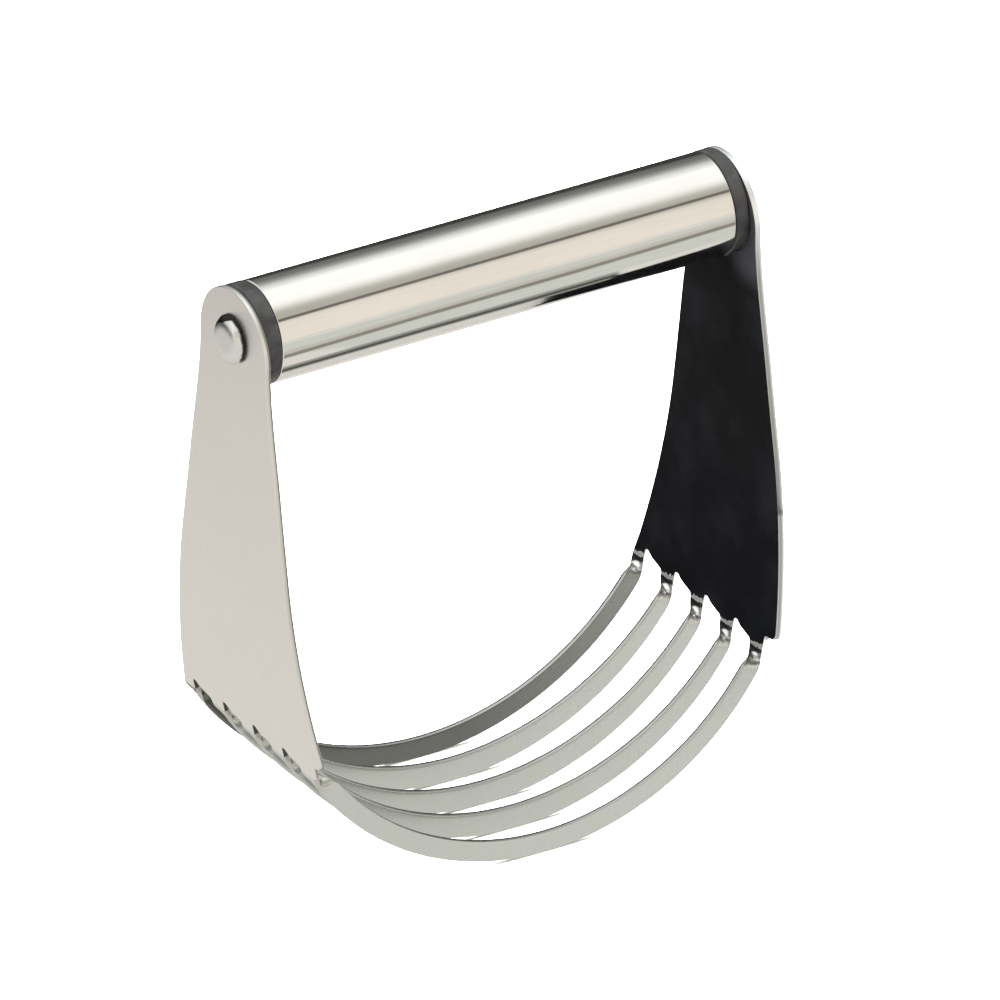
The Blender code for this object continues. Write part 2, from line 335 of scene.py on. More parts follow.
def make_plate(name, side, node, materials):
    """The stamped plate: an outer and an inner face, with a rounded edge round the outline and the hole."""
    outline = plate_outline()
    hole_r = RIVET_SHANK_R + HOLE_FIT
    turns = [2 * pi * i / HOLE_STEPS for i in range(HOLE_STEPS)]
    hole = [Vector((hole_r * cos(turn), hole_r * sin(turn))) for turn in turns]
    half = SHEET / 2
    loops = []
    for loop, within in ((outline, True), (hole, False)):
        moves = inset_of(loop, EDGE_R, within)
        loops.append(([p + m for p, m in zip(loop, moves)], moves))
    flat, kept, where = plate_face(loops[0][0], loops[1][0], hole_r)

    # The front notch counts as a slot on the right plate only
    first_wall = root_front(0) + (EDGE_R if side < 0 else -0.5 * MM)
    verts, normals, edge_share, depths, slots = [], [], [], [], []

    def add(point, through, normal, edge=0.0, slot=0.0):
        verts.append(bend(point.x, point.y, through))
        normals.append(bend_normal(point.y, normal))
        edge_share.append(edge)
        depths.append(through / MM)
        slots.append(slot)
        return len(verts) - 1

    outer = [add(p, half, (0, 0, 1)) for p in flat]
    inner = [add(p, -half, (0, 0, -1)) for p in flat]
    faces = [tuple(outer[i] for i in tri) for tri in kept]
    inner_start = len(faces)
    faces += [tuple(inner[i] for i in reversed(tri)) for tri in kept]
    inner_end = len(faces)
    for start, (loop, moves) in zip((0, len(outline)), loops):
        columns = []
        for i, (point, move) in enumerate(zip(loop, moves)):
            column = [outer[where[start + i]]]
            out = -move.normalized()
            slot = float(point.y < SLOT_TOP + SLOT_R / 2 and point.x > first_wall)
            for face in (1, -1):
                for k in range(1, ROUND_STEPS + 1) if face > 0 else range(ROUND_STEPS, 0, -1):
                    angle = pi / 2 * k / ROUND_STEPS
                    reach, rise = sin(angle), cos(angle)
                    normal = (out.x * reach, out.y * reach, face * rise)
                    through = face * (half - EDGE_R + EDGE_R * rise)
                    column.append(add(point - move * reach, through, normal, k / ROUND_STEPS, slot))
            column.append(inner[where[start + i]])
            columns.append(column)
        for first, second in zip(columns, columns[1:] + columns[:1]):
            for k in range(len(first) - 1):
                faces.append((first[k], first[k + 1], second[k + 1], second[k]))
    for vert, normal in zip(verts, normals):
        vert.x *= side
        normal.x *= side
    obj = mesh_piece(name, verts, faces, node, materials)
    mesh = obj.data
    for i in range(inner_start, inner_end):
        mesh.polygons[i].material_index = 1
    # The edge value masks the cut colour and the painted shade and highlights on the edges
    point_values(mesh, "edge", "FLOAT", edge_share)
    point_values(mesh, "through", "FLOAT", depths)
    point_values(mesh, "slot", "FLOAT", slots)
    mesh.normals_split_custom_set_from_vertices([tuple(n) for n in normals])
    return obj


# ----------------------------------------------------------------- strips

TWIST_STEPS = 24
ARC_STEPS = 96


def arc_point(angle, height, y):
    radius = ARC_R - height
    return Vector((radius * sin(angle), y, ARC_R - radius * cos(angle)))


def root_run():
    """A strip's direction where it leaves the right plate."""
    line = (BEND_START - CUT) / BEND_R
    return Vector((-sin(line), 0, -cos(line)))


def twisted_edge(start_y, end, flare):
    """One long edge of a right root, from the plate's line to the arc's, without its last point.

    It starts wider than the strip by the flare.
    """
    start = bend(start_y, CUT, 0)
    start_run = root_run()
    end_run = Vector((-cos(ARC_HALF_TURN), 0, -sin(ARC_HALF_TURN)))
    reach = (end - start).length
    points = []
    for i in range(TWIST_STEPS):
        t = i / TWIST_STEPS
        blend = 3 * t**2 - 2 * t**3
        tangents = (t**3 - 2 * t**2 + t) * start_run + (t**3 - t**2) * end_run
        wide = Vector((0, flare * (1 - t) ** 2, 0))
        points.append(start + (end - start) * blend + tangents * reach + wide)
    return points


def strip_edges(index):
    """A strip's front-and-lower edge and its rear-and-upper edge, from the right root to the left one."""
    front = root_front(index)
    middle_height = OUTER_MIDDLE_HEIGHT if index in (0, BLADES - 1) else MIDDLE_HEIGHT
    middle_y = (index - BLADES // 2) * MIDDLE_PITCH + MIDDLE_SHIFT
    lower, upper = [], []
    for i in range(ARC_STEPS + 1):
        angle = ARC_HALF_TURN * (1 - 2 * i / ARC_STEPS)
        along = angle / ARC_HALF_TURN
        height = middle_height + (END_HEIGHT - middle_height) * along**2
        y = front + ARC_STAND + (middle_y - front - ARC_STAND) * (1 - along**2)
        if 0 < index < BLADES - 1 and along > 0:
            height -= RIGHT_TRIM * along**2
            y -= RIGHT_LEAN * along**2
        lower.append(arc_point(angle, 0, y))
        upper.append(arc_point(angle, height, y))
    edges = []
    flare = ROOT_FLARE if index < BLADES - 1 else 0
    for arc, start_y, wide in ((lower, front, 0), (upper, front + ROOT_WIDTH, flare)):
        root = [*twisted_edge(start_y, arc[0], wide), arc[0]]
        mirrored = [Vector((-p.x, p.y, p.z)) for p in reversed(root)]
        edges.append([*root, *arc[1:-1], *mirrored])
    return edges


def strip_section(width):
    """A round-cornered section as (across, through, edge). edge grows from 0 on a face to 1 on a cut side."""
    half, side = SHEET / 2, width / 2
    points = []
    across_steps = 8
    for face in (-1, 1):
        for k in range(1, across_steps):
            share = k / across_steps
            points.append((face * (1 - 2 * share) * (side - EDGE_R), face * half, 0.0))
        for corner in (0, 1):
            for k in range(ROUND_STEPS + 1):
                angle = pi / 2 * k / ROUND_STEPS
                if corner:
                    angle = pi / 2 - angle
                reach, rise = sin(angle), cos(angle)
                through = (half - EDGE_R + EDGE_R * rise) * (1 if corner == 0 else -1)
                points.append((-face * (side - EDGE_R + EDGE_R * reach), face * through, reach))
    return points


def face_shade(index, rightward):
    """Painted shade on a strip's faces, as brightness from its left root (0) to its right one (1); the rear
    strip is darkest.
    """
    if index == BLADES - 1:
        return 0.24 + 0.36 * max(0.0, (rightward - 0.55) / 0.45)
    left_end_shade = 0.84 if index else 0.93
    return left_end_shade + (1 - left_end_shade) * rightward


def run_at(middle, k):
    """The direction of a strip's middle line at point number k. Its ends carry the plates' bend on."""
    last = len(middle) - 1
    if k == 0:
        return root_run()
    if k == last:
        run = root_run()
        return Vector((run.x, run.y, -run.z))
    return (middle[k + 1] - middle[k - 1]).normalized()


def make_strip(name, index, node, material):
    """The section swept from the right root to the left one.

    grain holds each point's place in mm: along the strip, across it and through the sheet.
    """
    lower, upper = strip_edges(index)
    stations = len(lower)
    middle = [(a + b) / 2 for a, b in zip(lower, upper)]
    verts, grain, edge_share, shades = [], [], [], []
    along = 0.0
    for k in range(stations):
        across = upper[k] - lower[k]
        width = across.length
        across.normalize()
        out = run_at(middle, k).cross(across).normalized()
        along += (middle[k] - middle[k - 1]).length if k else 0.0
        rightward = 1 - k / (stations - 1)
        for a, t, edge in strip_section(width):
            verts.append(middle[k] + across * a + out * t)
            grain.append((along / MM, a / MM, t / MM))
            edge_share.append(edge)
            shades.append(face_shade(index, rightward))
    length = along / MM
    ring = len(verts) // stations
    faces = [tuple(range(ring)), tuple(range(len(verts) - ring, len(verts)))]
    for k in range(stations - 1):
        for i in range(ring):
            j = (i + 1) % ring
            faces.append((k * ring + i, k * ring + j, (k + 1) * ring + j, (k + 1) * ring + i))
    obj = mesh_piece(name, verts, faces, node, [material])
    obj.data.set_sharp_from_angle(angle=radians(50))
    # The edge value masks the cut colour, the painted shade line and the painted highlight on the root's edge
    point_values(obj.data, "edge", "FLOAT", edge_share)
    point_values(obj.data, "shade", "FLOAT", shades)
    point_values(obj.data, "grain", "FLOAT_VECTOR", grain)
    point_values(obj.data, "from_root", "FLOAT", [min(g[0], length - g[0]) for g in grain])
    return obj


# ----------------------------------------------------------------- handle


def quarter(centre_r, centre_x, radius, start, steps=5):
    """A quarter turn of a profile, as (distance from the axis, x), from the given angle in degrees."""
    turns = [radians(start + 90 * i / steps) for i in range(steps + 1)]
    return [(centre_r + radius * sin(a), centre_x + radius * cos(a)) for a in turns]


def make_turned(name, profile, side, node, material, steps=128):
    """A closed profile of (distance from the handle's axis, x), turned about that axis."""
    on_axis = [r < 1e-9 for r, _ in profile]
    verts, rings = [], []
    for (r, x), axis in zip(profile, on_axis):
        count = 1 if axis else steps
        rings.append([len(verts) + i for i in range(count)])
        for i in range(count):
            angle = 2 * pi * i / steps
            verts.append(Vector((side * x, r * cos(angle), HANDLE_Z + r * sin(angle))))
    faces = []
    pairs = list(zip(rings, rings[1:]))
    if not any(on_axis):
        pairs.append((rings[-1], rings[0]))
    for first, second in pairs:
        for i in range(steps):
            j = (i + 1) % steps
            if len(first) == 1 and len(second) == 1:
                break
            if len(first) == 1:
                faces.append((first[0], second[j], second[i]))
            elif len(second) == 1:
                faces.append((first[i], first[j], second[0]))
            else:
                faces.append((first[i], first[j], second[j], second[i]))
    obj = mesh_piece(name, verts, faces, node, [material])
    obj.data.set_sharp_from_angle(angle=radians(40))
    return obj


def make_tube(material):
    high, low = COLLAR_INNER_X + TUBE_SHIFT - SEAM, TUBE_SHIFT + SEAM - COLLAR_INNER_X
    inner, r = TUBE_R - TUBE_WALL, TUBE_EDGE_R
    profile = [
        (inner, high),
        *quarter(TUBE_R - r, high - r, r, 0),
        (TUBE_R, high / 3),
        (TUBE_R, low / 3),
        *quarter(TUBE_R - r, low + r, r, 90),
        (inner, low),
    ]
    return make_turned("grip_tube", profile, 1, "handle_tube", material)


def make_plug(name, side, node, material):
    """The black collar that shows, and the spigot inside the tube with its bore for the rivet."""
    bore = RIVET_SHANK_R + PLUG_FIT
    spigot = TUBE_R - TUBE_WALL - PLUG_FIT
    r = PLUG_EDGE_R
    outer = INNER_X - SEAM
    collar = COLLAR_INNER_X + side * TUBE_SHIFT
    profile = [
        (bore, outer),
        *quarter(COLLAR_R - r, outer - r, r, 0),
        *quarter(COLLAR_R - r, collar + r, r, 90),
        (spigot, collar),
        (spigot, SPIGOT_END_X + PLUG_CHAMFER),
        (spigot - PLUG_CHAMFER, SPIGOT_END_X),
        (bore, SPIGOT_END_X),
    ]
    return make_turned(name, profile, side, node, material)


def make_rivet(name, side, node, material):
    """A low dome on a rounded rim, and a shank with a pointed end."""
    seat = OUTER_X + RIVET_LIFT
    rim_top = seat + RIVET_RIM_TOP
    lean = radians(37)  # the dome gives way to the rim at this slope
    edge = RIVET_HEAD_R - RIVET_RIM_R * 0.4
    under = 0.15 * MM  # chamfer under the head
    dome_steps, rim_steps = 24, 6
    dome = []
    for i in range(dome_steps + 1):
        share = i / dome_steps
        dome.append((edge * share, RIVET_HIGH_X - (RIVET_HIGH_X - rim_top) * share**RIVET_DOME_POWER))
    rim = []
    for i in range(1, rim_steps + 1):
        angle = lean + (pi / 2 - lean) * i / rim_steps
        out = RIVET_HEAD_R - RIVET_RIM_R + RIVET_RIM_R * sin(angle)
        rim.append((out, rim_top - RIVET_RIM_R * (cos(lean) - cos(angle))))
    profile = [
        *dome,
        *rim,
        (RIVET_HEAD_R, seat + under),
        (RIVET_HEAD_R - under, seat),
        (RIVET_SHANK_R, seat),
        (RIVET_SHANK_R, RIVET_LOW_X + RIVET_POINT),
        (RIVET_SHANK_R / 2, RIVET_LOW_X),
        (0, RIVET_LOW_X),
    ]
    return make_turned(name, profile, side, node, material)


# -------------------------------------------------------------- materials


def add(tree, kind, inputs=(), **settings):
    """A shader node with its settings. An input is a value, or a socket to link."""
    node = tree.nodes.new("ShaderNode" + kind)
    for key, value in settings.items():
        setattr(node, key, value)
    for key, value in dict(inputs).items():
        if isinstance(value, bpy.types.NodeSocket):
            tree.links.new(value, node.inputs[key])
        else:
            node.inputs[key].default_value = value
    return node


def calc(tree, operation, first, second=0.0, third=0.0):
    return add(tree, "Math", {0: first, 1: second, 2: third}, operation=operation).outputs[0]


def spread(tree, value, low, high, to_low=0.0, to_high=1.0):
    """A value between low and high, eased into another range."""
    inputs = {"Value": value, "From Min": low, "From Max": high, "To Min": to_low, "To Max": to_high}
    return add(tree, "MapRange", inputs, interpolation_type="SMOOTHSTEP").outputs[0]


def blend(tree, factor, first, second):
    return add(tree, "Mix", {0: factor, 6: first, 7: second}, data_type="RGBA").outputs[2]


def noise(tree, vector, scale, detail=3.0, rough=0.5, stretch=(1, 1, 1)):
    """Noise over a vector in mm, with scale in cells per mm."""
    mapped = add(tree, "Mapping", {"Vector": vector, "Scale": stretch}).outputs[0]
    inputs = {"Vector": mapped, "Scale": scale, "Detail": detail, "Roughness": rough}
    return add(tree, "TexNoise", inputs).outputs[0]


def place_in_mm(tree):
    where = add(tree, "TexCoord").outputs["Object"]
    return add(tree, "VectorMath", {0: where, "Scale": 1 / MM}, operation="SCALE").outputs[0]


def attribute(tree, name, output="Fac"):
    return add(tree, "Attribute", attribute_name=name).outputs[output]


def new_material(name, colour, metallic, roughness):
    material = bpy.data.materials.new(name)
    material.use_nodes = True
    material.diffuse_color = (*colour, 1)
    shader = material.node_tree.nodes["Principled BSDF"]
    shader.inputs["Base Color"].default_value = (*colour, 1)
    shader.inputs["Metallic"].default_value = metallic
    shader.inputs["Roughness"].default_value = roughness
    return material, material.node_tree, shader


def shade(colour, factor):
    return (*(min(1.0, c * factor) for c in colour), 1)


def finish_steel(tree, shader, colour, roughness, streaks, blotches, bump=0.1):
    """Steel whose tone and gloss vary with fine streaks and soft blotches.

    Returns its colour and roughness.
    """
    tone = calc(tree, "MULTIPLY_ADD", streaks, 0.5, calc(tree, "MULTIPLY", blotches, 0.5))
    tone = spread(tree, tone, 0.3, 0.7)
    base = blend(tree, tone, shade(colour, 0.96), shade(colour, 1.03))
    rough = calc(tree, "MULTIPLY_ADD", calc(tree, "SUBTRACT", tone, 0.5), 0.3 * roughness, roughness)
    tree.links.new(base, shader.inputs["Base Color"])
    tree.links.new(rough, shader.inputs["Roughness"])
    bumped = add(tree, "Bump", {"Height": streaks, "Strength": bump, "Distance": 0.02 * MM})
    tree.links.new(bumped.outputs[0], shader.inputs["Normal"])
    return base, rough


def sheared(tree, shader, base, rough, cut, line, dark, slot=0.0):
    """Steel with a sheared edge in the given cut colour, and a dark line of painted shade on it where line is
    1.

    The edge starts nearer the face where slot is 1.
    """
    line_ragged = noise(tree, place_in_mm(tree), 3.0, 3.0, 0.6)
    edge = attribute(tree, "edge")
    slot_edge = calc(tree, "MULTIPLY", slot, spread(tree, edge, 0.0, 0.3))
    edge = calc(tree, "MAXIMUM", spread(tree, edge, 0.35, 0.9), slot_edge)
    base = blend(tree, edge, base, cut)
    # The dark line is painted shade, a little uneven along its length
    line = calc(tree, "MULTIPLY", calc(tree, "MULTIPLY", line, edge), spread(tree, line_ragged, 0.1, 0.6, 0.7, 1.0))
    base = blend(tree, line, base, (*dark, 1))
    tree.links.new(base, shader.inputs["Base Color"])
    tree.links.new(calc(tree, "MULTIPLY_ADD", edge, 0.08, rough), shader.inputs["Roughness"])


def satin_steel():
    colour = (0.78, 0.765, 0.745)
    material, tree, shader = new_material("satin_steel", colour, 1.0, 0.36)
    mm = place_in_mm(tree)
    streaks = noise(tree, mm, 5.0, 4.0, 0.6, (1, 1, 0.05))
    blotches = noise(tree, mm, 0.09, 3.0, 0.55)
    base, rough = finish_steel(tree, shader, colour, 0.36, streaks, blotches)
    through = attribute(tree, "through")
    part = add(tree, "SeparateXYZ", {0: mm})
    right = spread(tree, part.outputs[0], -5.0, 5.0)
    height = part.outputs[2]

    # Painted light on the cut edges. The right plate's is a painted highlight, near white, with painted shade
    # (grey) on its inner half below the round top. The left plate's has painted shade in its slots and a dark
    # line
    shaded = calc(tree, "MULTIPLY", spread(tree, through, 0.3, -0.1), spread(tree, height, 112.0, 100.0))
    slot = attribute(tree, "slot")
    shaded = calc(tree, "MULTIPLY", shaded, calc(tree, "SUBTRACT", 1.0, slot))
    right_cut = blend(tree, shaded, (0.93, 0.96, 1, 1), (0.47, 0.48, 0.49, 1))
    left_cut = blend(tree, slot, (0.80, 0.79, 0.77, 1), (0.10, 0.10, 0.09, 1))
    cut = blend(tree, right, left_cut, right_cut)
    # Painted shade: a dark line on the left plate's cut edge, on its inner side
    inner_line = spread(tree, through, 0.05, -0.3)
    line = calc(tree, "MULTIPLY", inner_line, calc(tree, "SUBTRACT", 1.0, right))

    # Painted shade in the slots, darker in patches, and a painted highlight that makes the right plate's slot
    # walls white
    slot_shade_noise = noise(tree, mm, 1.1, 3.0, 0.6)
    slot_shade = calc(tree, "MULTIPLY", slot, spread(tree, slot_shade_noise, 0.35, 0.6))
    base = blend(tree, calc(tree, "MULTIPLY", slot_shade, 0.3), base, (0.1, 0.1, 0.09, 1))
    sheared(tree, shader, base, rough, cut, line, (0.28, 0.28, 0.27), slot)
    # Painted highlight: less metal makes the right plate's slot walls and the rounding into them white
    white = calc(tree, "MULTIPLY", calc(tree, "MULTIPLY", right, attribute(tree, "edge")), slot)
    tree.links.new(calc(tree, "MULTIPLY_ADD", white, -0.6, 1.0), shader.inputs["Metallic"])
    return material


def root_reflection_bands(tree, mm):
    """1 on a slanted, ragged band of painted reflection that crosses each root a little above the plate's
    end, and 0 elsewhere.
    """
    part = add(tree, "SeparateXYZ", {0: mm})
    first = root_front(0) / MM
    width = (ROOT_WIDTH + ROOT_FLARE) / MM
    slant = 0.2
    level = (HANDLE_Z + CUT) / MM + 0.9 + slant * width / 2
    row = calc(tree, "WRAP", calc(tree, "SUBTRACT", part.outputs[1], first), ROOT_PITCH / MM, 0.0)
    in_root = spread(tree, row, width + 0.1, width - 0.1)
    ragged = calc(tree, "MULTIPLY", calc(tree, "SUBTRACT", noise(tree, mm, 1.2, 2.0, 0.5), 0.5), 1.2)
    height = calc(tree, "MULTIPLY_ADD", row, slant, calc(tree, "ADD", part.outputs[2], ragged))
    off = calc(tree, "ABSOLUTE", calc(tree, "SUBTRACT", height, level))
    return calc(tree, "MULTIPLY", in_root, spread(tree, off, 0.55, 0.2))


def dark_inner():
    """The plates' inner faces: near black with a soft sheen, and a pale painted reflection across each
    strip's root.
    """
    dark, steel = (0.002, 0.0022, 0.003), (0.46, 0.46, 0.45)
    material, tree, shader = new_material("dark_inner_face", dark, 0.0, 0.4)
    mm = place_in_mm(tree)
    blotches = noise(tree, mm, 0.06, 3.0, 0.6)
    fine = noise(tree, mm, 4.0, 3.0, 0.6, (1, 1, 0.08))
    tone = spread(tree, blotches, 0.42, 0.75)
    base = blend(tree, tone, (*dark, 1), (0.0045, 0.005, 0.0065, 1))
    part = add(tree, "SeparateXYZ", {0: mm})
    root_reflection = root_reflection_bands(tree, mm)

    # Painted highlight: the face is a little paler at its top front, beside the collar
    down = calc(tree, "SUBTRACT", HANDLE_Z / MM, part.outputs[2])
    under = calc(tree, "MULTIPLY", spread(tree, down, 16.0, 9.0), spread(tree, part.outputs[1], -1.0, -8.0))
    base = blend(tree, under, base, (0.022, 0.021, 0.025, 1))
    # Painted reflection: a pale band of bare steel across each root
    base = blend(tree, root_reflection, base, (*steel, 1))
    tree.links.new(base, shader.inputs["Base Color"])
    tree.links.new(root_reflection, shader.inputs["Metallic"])
    rough = calc(tree, "MULTIPLY_ADD", fine, 0.12, spread(tree, blotches, 0.35, 0.7, 0.42, 0.3))
    tree.links.new(rough, shader.inputs["Roughness"])
    shader.inputs["Specular IOR Level"].default_value = 0.015
    bumped = add(tree, "Bump", {"Height": fine, "Strength": 0.08, "Distance": 0.02 * MM})
    tree.links.new(bumped.outputs[0], shader.inputs["Normal"])
    return material


def root_finish(tree, grain, across):
    """How far a point belongs to a strip's root, and the root's colour there.

    The plate's dark finish comes first, then a painted highlight, white with painted shade grey at its sides,
    and a short darker band.
    """
    slant = 0.42
    ragged = calc(tree, "MULTIPLY", calc(tree, "SUBTRACT", noise(tree, grain, 0.7, 2.0, 0.5), 0.5), 1.2)
    from_root = calc(tree, "ADD", attribute(tree, "from_root"), ragged)
    slanted = calc(tree, "MULTIPLY_ADD", across, -slant, from_root)
    reach = calc(tree, "SUBTRACT", slanted, slant * ROOT_WIDTH / MM / 2)
    # Painted light: a white highlight across the twist with grey painted shade at its sides, then a darker
    # band
    white, darker_band_colour = (0.93, 0.93, 0.92, 1), (0.22, 0.22, 0.215, 1)
    darker_band = spread(tree, reach, 1.9, 2.5)
    beside = spread(tree, calc(tree, "ABSOLUTE", across), 0.7, 1.8)
    twist_highlight = blend(tree, beside, white, (0.42, 0.42, 0.41, 1))
    mark = blend(tree, spread(tree, reach, 0.1, 0.8), (0.03, 0.03, 0.03, 1), twist_highlight)
    return spread(tree, reach, 3.3, 2.7), blend(tree, darker_band, mark, darker_band_colour)


def strip_steel():
    colour = (0.65, 0.67, 0.655)
    material, tree, shader = new_material("strip_steel", colour, 1.0, 0.27)
    grain = attribute(tree, "grain", "Vector")
    streaks = noise(tree, grain, 4.0, 4.0, 0.6, (0.05, 1, 1))
    blotches = noise(tree, grain, 0.14, 3.0, 0.55)
    base, rough = finish_steel(tree, shader, colour, 0.27, streaks, blotches, 0.06)
    tint = blend(tree, spread(tree, blotches, 0.35, 0.65), (1, 1, 0.96, 1), (0.97, 0.98, 1, 1))
    base = add(tree, "Mix", {0: 1.0, 6: base, 7: tint}, data_type="RGBA", blend_type="MULTIPLY").outputs[2]
    # Painted shade: faces darker towards the left root, and darkest on the rear strip
    dim = calc(tree, "SUBTRACT", 1.0, attribute(tree, "shade"))
    base = blend(tree, dim, base, (0.02, 0.02, 0.018, 1))
    part = add(tree, "SeparateXYZ", {0: grain})
    across, through = part.outputs[1], part.outputs[2]
    x = add(tree, "SeparateXYZ", {0: place_in_mm(tree)}).outputs[0]
    right = spread(tree, x, -5.0, 5.0)
    at_root, root_tone = root_finish(tree, grain, across)
    at_root = calc(tree, "MULTIPLY", right, at_root)
    base = blend(tree, at_root, base, root_tone)

    # Painted highlight: the right root's front cut edge is pale, like the slot's wall above it, and grey
    # towards the rear
    rear = spread(tree, across, -0.3, 0.3)
    root_cut = blend(tree, rear, (1, 1, 1, 1), (0.38, 0.38, 0.37, 1))
    cut = blend(tree, at_root, (0.56, 0.56, 0.54, 1), root_cut)
    root_edge = calc(tree, "MULTIPLY", at_root, attribute(tree, "edge"))
    pale = calc(tree, "MULTIPLY", root_edge, calc(tree, "SUBTRACT", 1.0, rear))
    tree.links.new(calc(tree, "MULTIPLY_ADD", pale, -0.6, 1.0), shader.inputs["Metallic"])

    # Painted shade: a dark line on the rear-and-upper cut edge, wider towards the left
    starts = spread(tree, x, -45.0, 10.0, -0.35, 0.0)
    line = spread(tree, calc(tree, "SUBTRACT", through, starts), 0.0, 0.15)
    line = calc(tree, "MULTIPLY", line, spread(tree, across, 0.0, 0.5))
    sheared(tree, shader, base, rough, cut, line, (0.05, 0.05, 0.045))
    return material


def polished_steel():
    colour = (0.79, 0.785, 0.76)
    material, tree, shader = new_material("polished_steel", colour, 1.0, 0.09)
    mm = place_in_mm(tree)
    streaks = noise(tree, mm, 3.5, 4.0, 0.6, (0.03, 1, 1))
    blotches = noise(tree, mm, 0.1, 3.0, 0.6, (0.6, 1, 1))
    finish_steel(tree, shader, colour, 0.09, streaks, blotches, bump=0.02)
    return material


def rivet_steel():
    """A plain head with a dark shadow round its upper rim, thickest at the upper rear."""
    colour = (0.74, 0.74, 0.73)
    material, tree, shader = new_material("rivet_steel", colour, 1.0, 0.36)
    mm = place_in_mm(tree)
    streaks = noise(tree, mm, 3.0, 3.0, 0.6)
    blotches = noise(tree, mm, 0.5, 3.0, 0.6)
    base, _ = finish_steel(tree, shader, colour, 0.36, streaks, blotches, bump=0.05)
    part = add(tree, "SeparateXYZ", {0: mm})
    y, z = part.outputs[1], calc(tree, "SUBTRACT", part.outputs[2], HANDLE_Z / MM)
    r = calc(tree, "SQRT", calc(tree, "MULTIPLY_ADD", y, y, calc(tree, "MULTIPLY", z, z)))
    head = RIVET_HEAD_R / MM

    def towards(angle):
        """1 on the side at this angle, from the top towards the front, down to -1 on the other side."""
        front, up = -sin(radians(angle)), cos(radians(angle))
        return calc(tree, "DIVIDE", calc(tree, "MULTIPLY_ADD", y, front, calc(tree, "MULTIPLY", z, up)), r)

    ragged = calc(tree, "MULTIPLY", calc(tree, "SUBTRACT", noise(tree, mm, 0.8, 2.0, 0.5), 0.5), 0.35)
    width = spread(tree, towards(-38), 0.6, 0.95, 0.22, 1.3)
    starts = calc(tree, "SUBTRACT", head, calc(tree, "ADD", width, ragged))
    rim = spread(tree, calc(tree, "SUBTRACT", r, starts), -0.1, 0.15)
    rim = calc(tree, "MULTIPLY", rim, spread(tree, towards(35), -0.3, 0.05))
    base = blend(tree, rim, base, (0.03, 0.03, 0.027, 1))
    tree.links.new(base, shader.inputs["Base Color"])
    return material


def black_plastic():
    colour = (0.012, 0.012, 0.012)
    material, tree, shader = new_material("black_plastic", colour, 0.0, 0.3)
    mm = place_in_mm(tree)
    stipple = noise(tree, mm, 6.0, 3.0, 0.6)
    soft = noise(tree, mm, 0.3, 2.0, 0.5)
    base = blend(tree, spread(tree, soft, 0.35, 0.65), shade(colour, 0.8), shade(colour, 1.35))
    tree.links.new(base, shader.inputs["Base Color"])
    rough = calc(tree, "MULTIPLY_ADD", calc(tree, "SUBTRACT", stipple, 0.5), 0.2, 0.3)
    tree.links.new(rough, shader.inputs["Roughness"])
    bumped = add(tree, "Bump", {"Height": stipple, "Strength": 0.1, "Distance": 0.03 * MM})
    tree.links.new(bumped.outputs[0], shader.inputs["Normal"])
    shader.inputs["Specular IOR Level"].default_value = 0.4
    return material


# ----------------------------------------------------------------- pieces

satin, inner, strip, polished, rivet, plastic = (
    satin_steel(), dark_inner(), strip_steel(), polished_steel(), rivet_steel(), black_plastic()
)
for side, word in ((-1, "left"), (1, "right")):
    make_plate(f"side_plate_{word}", side, f"{word}_side_plate", [satin, inner])
    make_plug(f"end_plug_{word}", side, f"{word}_end_plug", plastic)
    make_rivet(f"rivet_{word}", side, f"{word}_handle_rivet", rivet)
make_tube(polished)
for index in range(BLADES):
    make_strip(f"strip_{index + 1}", index, f"blade_{index + 1}", strip)


# ----------------------------------------------------------------- studio

RAYS = ("camera", "diffuse", "glossy", "transmission", "volume_scatter", "shadow")


def stage_piece(name, mesh, material, seen_by):
    """A piece of the studio, shown only to the kinds of ray named."""
    mesh.materials.append(material)
    obj = bpy.data.objects.new(name, mesh)
    bpy.context.scene.collection.objects.link(obj)
    for kind in RAYS:
        setattr(obj, "visible_" + kind, kind in seen_by)
    return obj


def glow(name, colour):
    """A material that gives off its colour and takes no light."""
    material = bpy.data.materials.new(name)
    material.use_nodes = True
    tree = material.node_tree
    tree.nodes.clear()
    shader = add(tree, "Emission", {"Color": (*colour, 1), "Strength": 1.0})
    out = add(tree, "OutputMaterial")
    tree.links.new(shader.outputs[0], out.inputs[0])
    return material


FLOOR_Z = cad_bounds[0].z


def studio_floor():
    """A pale floor that takes shadows and doesn't show in reflections."""
    mesh = bpy.data.meshes.new("floor")
    bm = bmesh.new()
    bmesh.ops.create_grid(bm, x_segments=1, y_segments=1, size=2.0)
    bm.to_mesh(mesh)
    bm.free()
    material, *_ = new_material("floor", (0.93, 0.93, 0.93), 0.0, 0.9)
    obj = stage_piece("floor", mesh, material, ("camera", "diffuse", "shadow", "transmission"))
    obj.location.z = FLOOR_Z


def studio_backdrop():
    """A pale dome that only the camera sees, so that every view has the same plain background."""
    mesh = bpy.data.meshes.new("backdrop")
    bm = bmesh.new()
    bmesh.ops.create_uvsphere(bm, u_segments=48, v_segments=24, radius=2.4)
    bm.to_mesh(mesh)
    bm.free()
    stage_piece("backdrop", mesh, glow("backdrop", (1, 1, 1)), ("camera",))


def studio_card(name, corners, colour):
    """A plain card of the studio that shows only in reflections. Its corners are in mm."""
    mesh = bpy.data.meshes.new(name)
    mesh.from_pydata([tuple(v * MM for v in corner) for corner in corners], [], [(0, 1, 2, 3)])
    stage_piece(name, mesh, glow(name, colour), ("glossy",))


